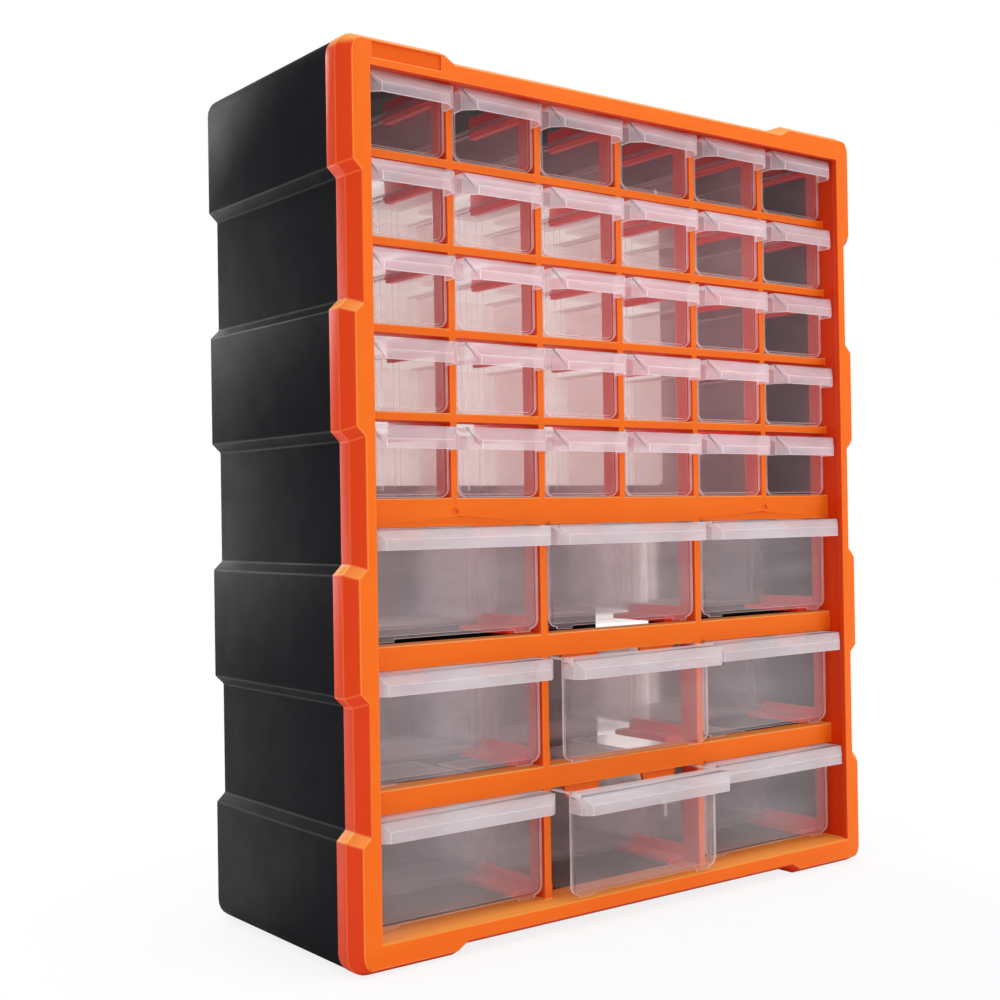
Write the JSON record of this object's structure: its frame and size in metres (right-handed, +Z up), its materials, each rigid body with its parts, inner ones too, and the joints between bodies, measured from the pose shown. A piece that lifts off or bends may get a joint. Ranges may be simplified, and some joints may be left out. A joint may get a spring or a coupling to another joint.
{
  "type": "parts bin cabinet",
  "caption": "Wall or bench cabinet with rows of small and large frosted sliding drawers in an orange front frame with stepped sides and a black one-piece rear shell.",
  "frame": {"origin": "middle of the underside of the whole cabinet with the drawers as posed, on the surface that it stands on", "axes": "+Z up, +X to the right of someone facing the drawers, +Y from the front to the back; the drawers pull out along -Y"},
  "size_m": [0.38, 0.1774, 0.475],
  "materials": {
    "frame": "satin",
    "shell": "fine texture",
    "drawer": "frosted, translucent"
  },
  "bodies": {
    "cabinet": {"front_frame": "frame", "posts": "frame", "bars": "frame", "drawer_stops": "frame", "rear_shell": "shell", "guides_row_1": "frame", "guides_row_2": "frame", "guides_row_3": "frame", "guides_row_4": "frame", "guides_row_5": "frame", "guides_row_6": "frame", "guides_row_7": "frame", "guides_row_8": "frame"},
    "small_drawer_1_1": {"small_drawer_1_1": "drawer"},
    "small_drawer_1_2": {"small_drawer_1_2": "drawer"},
    "small_drawer_1_3": {"small_drawer_1_3": "drawer"},
    "small_drawer_1_4": {"small_drawer_1_4": "drawer"},
    "small_drawer_1_5": {"small_drawer_1_5": "drawer"},
    "small_drawer_1_6": {"small_drawer_1_6": "drawer"},
    "small_drawer_2_1": {"small_drawer_2_1": "drawer"},
    "small_drawer_2_2": {"small_drawer_2_2": "drawer"},
    "small_drawer_2_3": {"small_drawer_2_3": "drawer"},
    "small_drawer_2_4": {"small_drawer_2_4": "drawer"},
    "small_drawer_2_5": {"small_drawer_2_5": "drawer"},
    "small_drawer_2_6": {"small_drawer_2_6": "drawer"},
    "small_drawer_3_1": {"small_drawer_3_1": "drawer"},
    "small_drawer_3_2": {"small_drawer_3_2": "drawer"},
    "small_drawer_3_3": {"small_drawer_3_3": "drawer"},
    "small_drawer_3_4": {"small_drawer_3_4": "drawer"},
    "small_drawer_3_5": {"small_drawer_3_5": "drawer"},
    "small_drawer_3_6": {"small_drawer_3_6": "drawer"},
    "small_drawer_4_1": {"small_drawer_4_1": "drawer"},
    "small_drawer_4_2": {"small_drawer_4_2": "drawer"},
    "small_drawer_4_3": {"small_drawer_4_3": "drawer"},
    "small_drawer_4_4": {"small_drawer_4_4": "drawer"},
    "small_drawer_4_5": {"small_drawer_4_5": "drawer"},
    "small_drawer_4_6": {"small_drawer_4_6": "drawer"},
    "small_drawer_5_1": {"small_drawer_5_1": "drawer"},
    "small_drawer_5_2": {"small_drawer_5_2": "drawer"},
    "small_drawer_5_3": {"small_drawer_5_3": "drawer"},
    "small_drawer_5_4": {"small_drawer_5_4": "drawer"},
    "small_drawer_5_5": {"small_drawer_5_5": "drawer"},
    "small_drawer_5_6": {"small_drawer_5_6": "drawer"},
    "large_drawer_1_1": {"large_drawer_1_1": "drawer"},
    "large_drawer_1_2": {"large_drawer_1_2": "drawer"},
    "large_drawer_1_3": {"large_drawer_1_3": "drawer"},
    "large_drawer_2_1": {"large_drawer_2_1": "drawer"},
    "large_drawer_2_2": {"large_drawer_2_2": "drawer"},
    "large_drawer_2_3": {"large_drawer_2_3": "drawer"},
    "large_drawer_3_1": {"large_drawer_3_1": "drawer"},
    "large_drawer_3_2": {"large_drawer_3_2": "drawer"},
    "large_drawer_3_3": {"large_drawer_3_3": "drawer"}
  },
  "joints": [
    {"name": "small_drawer_1_1_slide", "type": "slide", "parent": "cabinet", "child": "small_drawer_1_1", "axis": [0, -1, 0], "range_m": [0, 0.1]},
    {"name": "small_drawer_1_2_slide", "type": "slide", "parent": "cabinet", "child": "small_drawer_1_2", "axis": [0, -1, 0], "range_m": [0, 0.1]},
    {"name": "small_drawer_1_3_slide", "type": "slide", "parent": "cabinet", "child": "small_drawer_1_3", "axis": [0, -1, 0], "range_m": [0, 0.1]},
    {"name": "small_drawer_1_4_slide", "type": "slide", "parent": "cabinet", "child": "small_drawer_1_4", "axis": [0, -1, 0], "range_m": [0, 0.1]},
    {"name": "small_drawer_1_5_slide", "type": "slide", "parent": "cabinet", "child": "small_drawer_1_5", "axis": [0, -1, 0], "range_m": [0, 0.1]},
    {"name": "small_drawer_1_6_slide", "type": "slide", "parent": "cabinet", "child": "small_drawer_1_6", "axis": [0, -1, 0], "range_m": [0, 0.1]},
    {"name": "small_drawer_2_1_slide", "type": "slide", "parent": "cabinet", "child": "small_drawer_2_1", "axis": [0, -1, 0], "range_m": [0, 0.1]},
    {"name": "small_drawer_2_2_slide", "type": "slide", "parent": "cabinet", "child": "small_drawer_2_2", "axis": [0, -1, 0], "range_m": [0, 0.1]},
    {"name": "small_drawer_2_3_slide", "type": "slide", "parent": "cabinet", "child": "small_drawer_2_3", "axis": [0, -1, 0], "range_m": [0, 0.1]},
    {"name": "small_drawer_2_4_slide", "type": "slide", "parent": "cabinet", "child": "small_drawer_2_4", "axis": [0, -1, 0], "range_m": [0, 0.1]},
    {"name": "small_drawer_2_5_slide", "type": "slide", "parent": "cabinet", "child": "small_drawer_2_5", "axis": [0, -1, 0], "range_m": [0, 0.1]},
    {"name": "small_drawer_2_6_slide", "type": "slide", "parent": "cabinet", "child": "small_drawer_2_6", "axis": [0, -1, 0], "range_m": [0, 0.1]},
    {"name": "small_drawer_3_1_slide", "type": "slide", "parent": "cabinet", "child": "small_drawer_3_1", "axis": [0, -1, 0], "range_m": [0, 0.1]},
    {"name": "small_drawer_3_2_slide", "type": "slide", "parent": "cabinet", "child": "small_drawer_3_2", "axis": [0, -1, 0], "range_m": [0, 0.1]},
    {"name": "small_drawer_3_3_slide", "type": "slide", "parent": "cabinet", "child": "small_drawer_3_3", "axis": [0, -1, 0], "range_m": [0, 0.1]},
    {"name": "small_drawer_3_4_slide", "type": "slide", "parent": "cabinet", "child": "small_drawer_3_4", "axis": [0, -1, 0], "range_m": [0, 0.1]},
    {"name": "small_drawer_3_5_slide", "type": "slide", "parent": "cabinet", "child": "small_drawer_3_5", "axis": [0, -1, 0], "range_m": [0, 0.1]},
    {"name": "small_drawer_3_6_slide", "type": "slide", "parent": "cabinet", "child": "small_drawer_3_6", "axis": [0, -1, 0], "range_m": [0, 0.1]},
    {"name": "small_drawer_4_1_slide", "type": "slide", "parent": "cabinet", "child": "small_drawer_4_1", "axis": [0, -1, 0], "range_m": [0, 0.1]},
    {"name": "small_drawer_4_2_slide", "type": "slide", "parent": "cabinet", "child": "small_drawer_4_2", "axis": [0, -1, 0], "range_m": [0, 0.1]},
    {"name": "small_drawer_4_3_slide", "type": "slide", "parent": "cabinet", "child": "small_drawer_4_3", "axis": [0, -1, 0], "range_m": [0, 0.1]},
    {"name": "small_drawer_4_4_slide", "type": "slide", "parent": "cabinet", "child": "small_drawer_4_4", "axis": [0, -1, 0], "range_m": [0, 0.1]},
    {"name": "small_drawer_4_5_slide", "type": "slide", "parent": "cabinet", "child": "small_drawer_4_5", "axis": [0, -1, 0], "range_m": [0, 0.1]},
    {"name": "small_drawer_4_6_slide", "type": "slide", "parent": "cabinet", "child": "small_drawer_4_6", "axis": [0, -1, 0], "range_m": [0, 0.1]},
    {"name": "small_drawer_5_1_slide", "type": "slide", "parent": "cabinet", "child": "small_drawer_5_1", "axis": [0, -1, 0], "range_m": [0, 0.1]},
    {"name": "small_drawer_5_2_slide", "type": "slide", "parent": "cabinet", "child": "small_drawer_5_2", "axis": [0, -1, 0], "range_m": [0, 0.1]},
    {"name": "small_drawer_5_3_slide", "type": "slide", "parent": "cabinet", "child": "small_drawer_5_3", "axis": [0, -1, 0], "range_m": [0, 0.1]},
    {"name": "small_drawer_5_4_slide", "type": "slide", "parent": "cabinet", "child": "small_drawer_5_4", "axis": [0, -1, 0], "range_m": [0, 0.1]},
    {"name": "small_drawer_5_5_slide", "type": "slide", "parent": "cabinet", "child": "small_drawer_5_5", "axis": [0, -1, 0], "range_m": [0, 0.1]},
    {"name": "small_drawer_5_6_slide", "type": "slide", "parent": "cabinet", "child": "small_drawer_5_6", "axis": [0, -1, 0], "range_m": [0, 0.1]},
    {"name": "large_drawer_1_1_slide", "type": "slide", "parent": "cabinet", "child": "large_drawer_1_1", "axis": [0, -1, 0], "range_m": [0, 0.125]},
    {"name": "large_drawer_1_2_slide", "type": "slide", "parent": "cabinet", "child": "large_drawer_1_2", "axis": [0, -1, 0], "range_m": [0, 0.125]},
    {"name": "large_drawer_1_3_slide", "type": "slide", "parent": "cabinet", "child": "large_drawer_1_3", "axis": [0, -1, 0], "range_m": [0, 0.125]},
    {"name": "large_drawer_2_1_slide", "type": "slide", "parent": "cabinet", "child": "large_drawer_2_1", "axis": [0, -1, 0], "range_m": [0, 0.125]},
    {"name": "large_drawer_2_2_slide", "type": "slide", "parent": "cabinet", "child": "large_drawer_2_2", "axis": [0, -1, 0], "range_m": [-0.012, 0.113]},
    {"name": "large_drawer_2_3_slide", "type": "slide", "parent": "cabinet", "child": "large_drawer_2_3", "axis": [0, -1, 0], "range_m": [0, 0.125]},
    {"name": "large_drawer_3_1_slide", "type": "slide", "parent": "cabinet", "child": "large_drawer_3_1", "axis": [0, -1, 0], "range_m": [0, 0.125]},
    {"name": "large_drawer_3_2_slide", "type": "slide", "parent": "cabinet", "child": "large_drawer_3_2", "axis": [0, -1, 0], "range_m": [-0.017, 0.108]},
    {"name": "large_drawer_3_3_slide", "type": "slide", "parent": "cabinet", "child": "large_drawer_3_3", "axis": [0, -1, 0], "range_m": [0, 0.125]}
  ]
}
